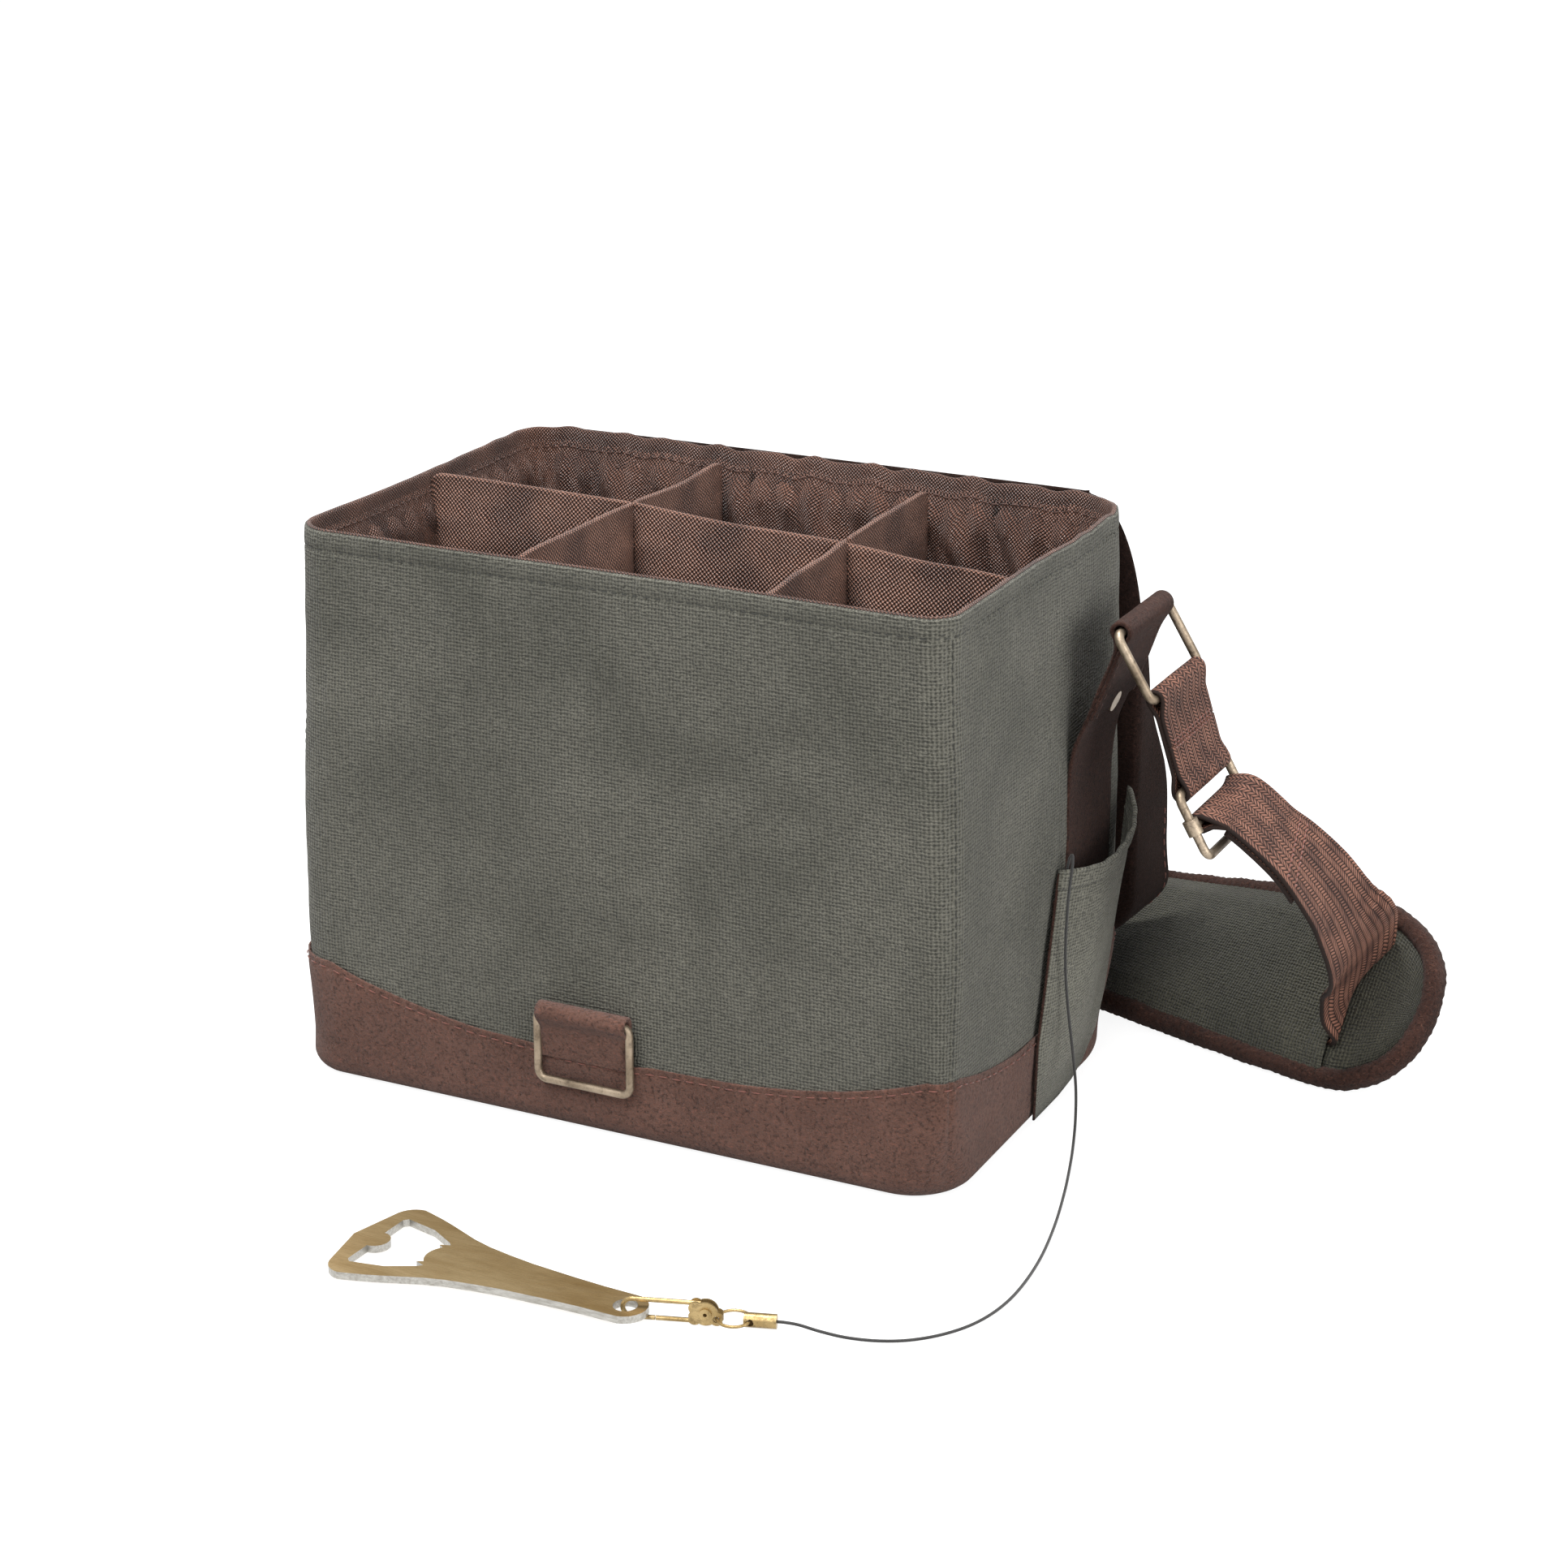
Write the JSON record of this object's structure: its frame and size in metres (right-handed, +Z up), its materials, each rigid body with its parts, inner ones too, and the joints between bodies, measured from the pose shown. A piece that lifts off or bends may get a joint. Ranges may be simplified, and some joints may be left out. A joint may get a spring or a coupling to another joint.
{
  "type": "cooler tote",
  "caption": "Insulated bottle tote with a folded-back lid, lift-out six-cell divider, shoulder strap with pad, side pocket and a tethered bottle opener.",
  "frame": {"origin": "centre of the flat underside of the tote's base", "axes": "+X to the right along the front, +Y to the back, +Z up"},
  "size_m": [0.5051, 0.5439, 0.24],
  "materials": {
    "canvas": "waxed cotton canvas",
    "suede": "brown suede",
    "nylon": "brown nylon",
    "webbing": "heavy brown webbing",
    "foam": "white closed-cell foam",
    "board": "stiff plastic board",
    "antique_brass": "antique brass",
    "opener_brass": "brushed antique brass",
    "cord": "dark thin cord"
  },
  "bodies": {
    "tote": {"canvas_front": "canvas", "canvas_back": "canvas", "canvas_left": "canvas", "canvas_right": "canvas", "base_band_front": "suede", "base_band_back": "suede", "base_band_left": "suede", "base_band_right": "suede", "bottom_panel": "suede", "base_board": "board", "foam_front": "foam", "foam_back": "foam", "foam_left": "foam", "foam_right": "foam", "foam_floor": "foam", "lining_walls": "nylon", "lining_floor": "nylon", "front_tab": "suede", "side_strap_right": "suede", "side_strap_left": "suede", "strap_rivet_right": "antique_brass", "strap_rivet_left": "antique_brass", "side_pocket": "canvas", "cord_anchor": "suede", "tether_cord": "cord", "cord_crimp": "antique_brass"},
    "dividers": {"divider_long": "nylon", "divider_cross_left": "nylon", "divider_cross_right": "nylon"},
    "lid": {"lid_skin": "suede", "lid_padding": "nylon"},
    "closure": {"closure_strap": "suede"},
    "front_ring": {"front_ring": "antique_brass"},
    "right_ring": {"side_ring_right": "antique_brass"},
    "connector": {"connector_webbing": "webbing"},
    "shoulder_strap": {"slider": "antique_brass", "shoulder_webbing": "webbing", "pad_base": "canvas", "pad_cover": "canvas", "pad_binding": "suede"},
    "left_ring": {"side_ring_left": "antique_brass"},
    "left_strap": {"left_webbing": "webbing"},
    "split_ring": {"split_ring": "antique_brass"},
    "snap_hook": {"hook_wire": "antique_brass", "hook_plates": "antique_brass", "hook_rivet": "antique_brass"},
    "hook_gate": {"hook_gate": "antique_brass"},
    "opener": {"bottle_opener": "opener_brass"}
  },
  "joints": [
    {"name": "divider_lift", "type": "slide", "parent": "tote", "child": "dividers", "axis": [0, 0, -1], "range_m": [-0.25, 0]},
    {"name": "lid_hinge", "type": "hinge", "parent": "tote", "child": "lid", "pos_m": [0, 0.0999, 0.2403], "axis": [1, 0, 0], "range_deg": [0, 270]},
    {"name": "closure_flex", "type": "hinge", "parent": "lid", "child": "closure", "pos_m": [-0.0082, 0.1462, 0.0424], "axis": [1, 0, 0], "range_deg": [0, 10]},
    {"name": "front_ring_hinge", "type": "hinge", "parent": "tote", "child": "front_ring", "pos_m": [-0.0082, -0.102, 0.0535], "axis": [1, 0, 0], "range_deg": [-150, 0]},
    {"name": "right_ring_hinge", "type": "hinge", "parent": "tote", "child": "right_ring", "pos_m": [0.1713, 0.04, 0.207], "axis": [0, -1, 0], "range_deg": [0, 15]},
    {"name": "connector_hinge", "type": "hinge", "parent": "right_ring", "child": "connector", "pos_m": [0.18681, 0.04, 0.18179], "axis": [0, -1, 0], "range_deg": [0, 7.5]},
    {"name": "slider_hinge", "type": "hinge", "parent": "connector", "child": "shoulder_strap", "pos_m": [0.19931, 0.04, 0.14429], "axis": [0, -1, 0], "range_deg": [-22.5, 0]},
    {"name": "left_ring_hinge", "type": "hinge", "parent": "tote", "child": "left_ring", "pos_m": [-0.1713, 0.04, 0.207], "axis": [0, 1, 0], "range_deg": [0, 70]},
    {"name": "left_strap_hinge", "type": "hinge", "parent": "left_ring", "child": "left_strap", "pos_m": [-0.18681, 0.04, 0.18179], "axis": [0, 1, 0], "range_deg": [0, 40]},
    {"name": "split_ring_lift", "type": "hinge", "parent": "tote", "child": "split_ring", "pos_m": [0.12194, -0.21072, 0.00305], "axis": [-0.309, 0.9511, 0], "range_deg": [0, 60]},
    {"name": "hook_swivel", "type": "hinge", "parent": "split_ring", "child": "snap_hook", "pos_m": [0.11604, -0.21264, 0.00305], "axis": [0, 0, 1], "range_deg": [-15, 30]},
    {"name": "gate_hinge", "type": "hinge", "parent": "snap_hook", "child": "hook_gate", "pos_m": [0.10244, -0.21706, 0.0012], "axis": [-0.309, 0.9511, 0], "range_deg": [0, 20], "stiffness_Nm_per_rad": 0.01},
    {"name": "opener_swing", "type": "hinge", "parent": "snap_hook", "child": "opener", "pos_m": [0.078, -0.225, 0.0039], "axis": [-0.0185, 0.0011, 0.9998], "range_deg": [-25, 35]}
  ],
  "couplings": [
    {"joint": "connector_hinge", "follows": "right_ring_hinge", "ratio": 0.5},
    {"joint": "slider_hinge", "follows": "right_ring_hinge", "ratio": -1.5}
  ]
}
